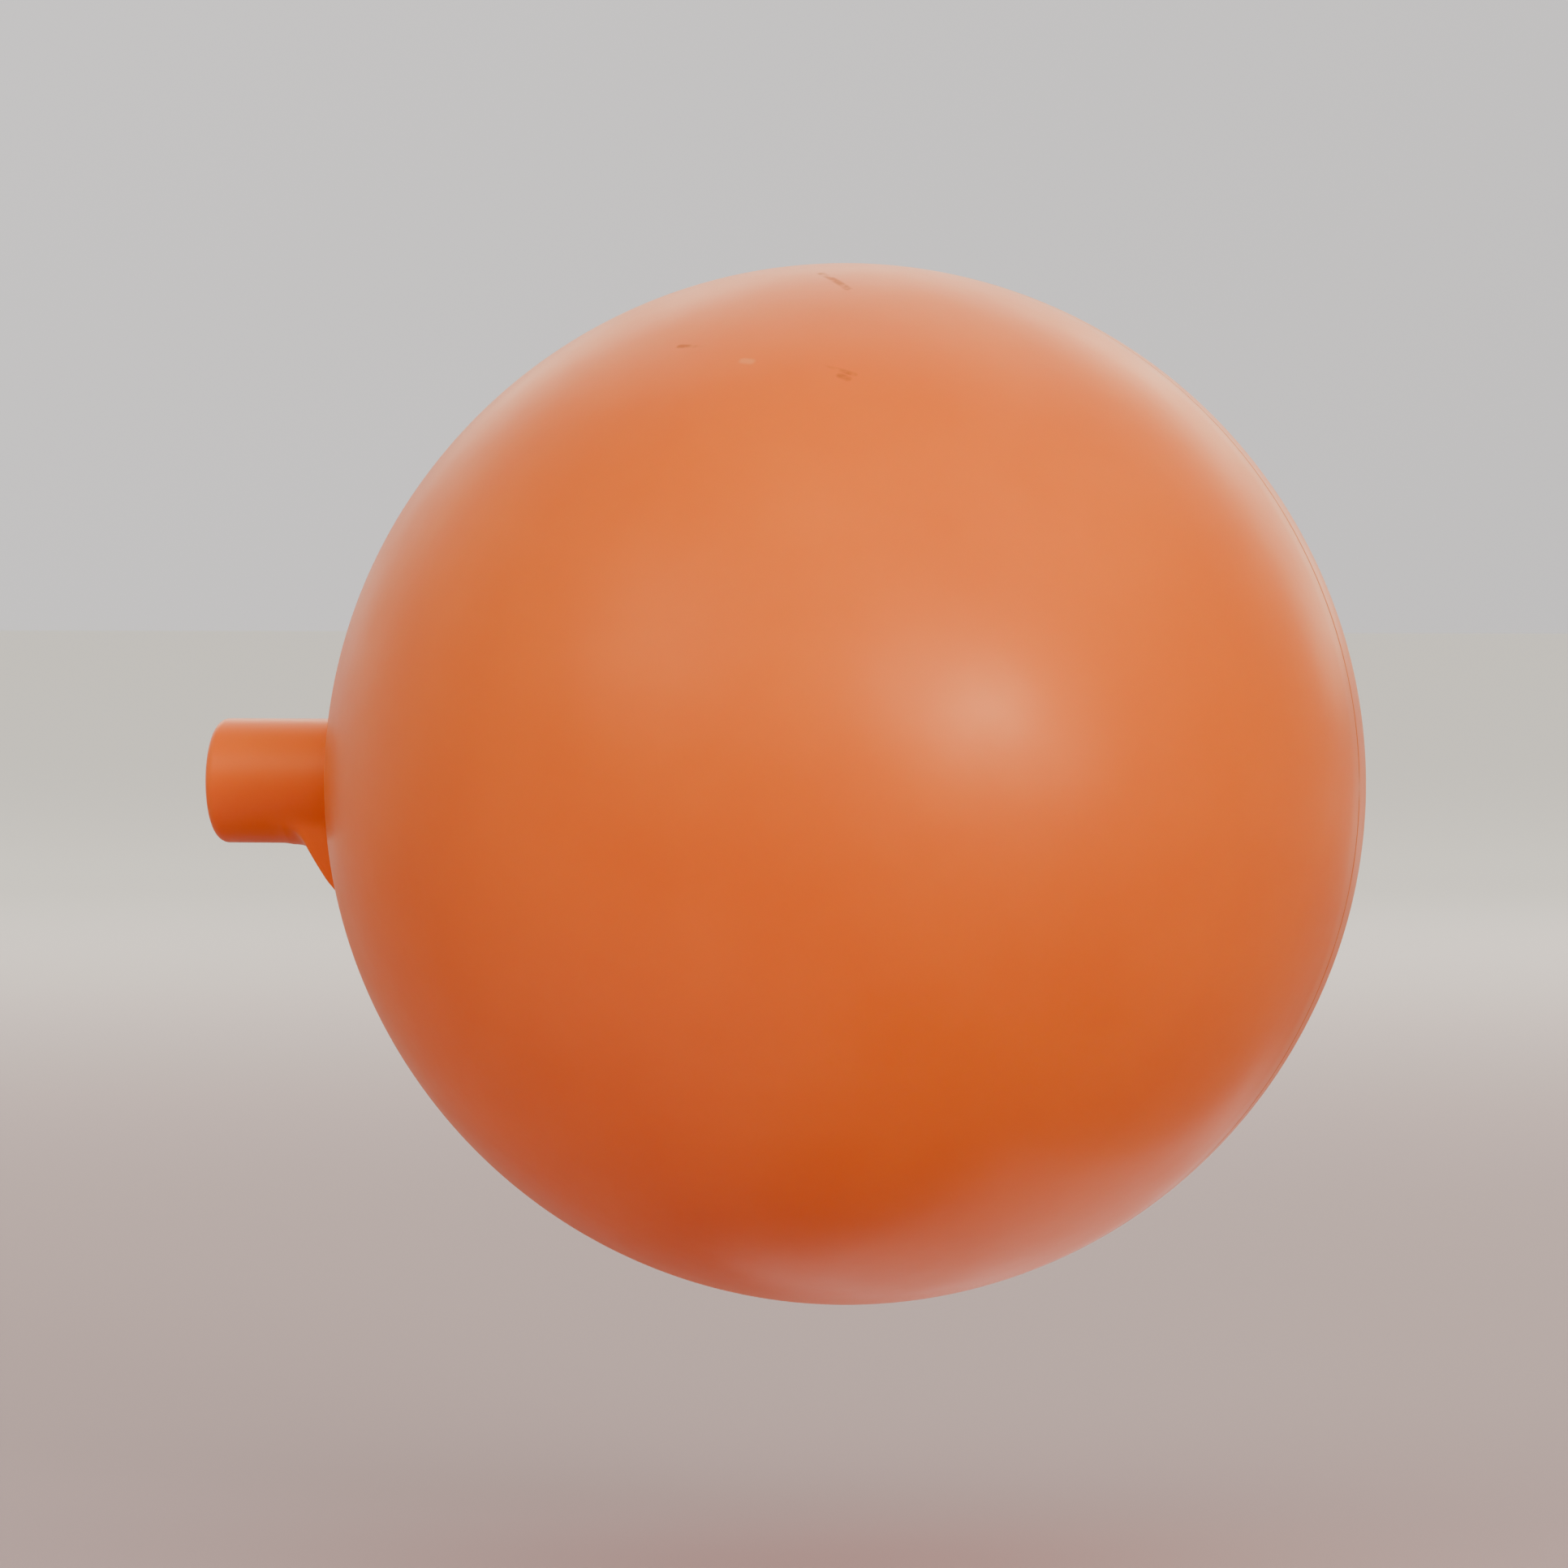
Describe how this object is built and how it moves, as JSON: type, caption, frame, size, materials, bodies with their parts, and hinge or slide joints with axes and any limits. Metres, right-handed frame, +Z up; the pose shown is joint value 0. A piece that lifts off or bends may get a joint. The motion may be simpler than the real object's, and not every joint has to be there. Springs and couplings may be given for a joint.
{
  "type": "table tennis practice ball",
  "caption": "Hollow orange table tennis ball with a moulded neck and gusset, spinning freely on an inner spindle that grips a practice rod",
  "frame": {"origin": "the ball's centre, which is also a point on the axis of the spindle's rod bore", "axes": "-X is the direction the neck points and the way the rod leaves; +Z is up, away from the neck's gusset; the ball's halves meet in the XZ plane, and the front half is on the -Y side"},
  "size_m": [0.045, 0.04, 0.04],
  "materials": {
    "ball_plastic": "satin orange ABS, buffed, slightly translucent",
    "spindle_brass": "drawn brass, plain",
    "bearing_plastic": "natural acetal, smooth"
  },
  "bodies": {
    "spindle": {"spindle_tube": "spindle_brass", "stop_collar": "spindle_brass", "thrust_washer": "bearing_plastic", "pivot_plug": "bearing_plastic"},
    "ball": {"front_half_shell": "ball_plastic", "back_half_shell": "ball_plastic"}
  },
  "joints": [
    {"name": "ball_spin", "type": "hinge", "parent": "spindle", "child": "ball", "pos_m": [0, 0, 0], "axis": [1, 0, 0], "continuous": true}
  ]
}
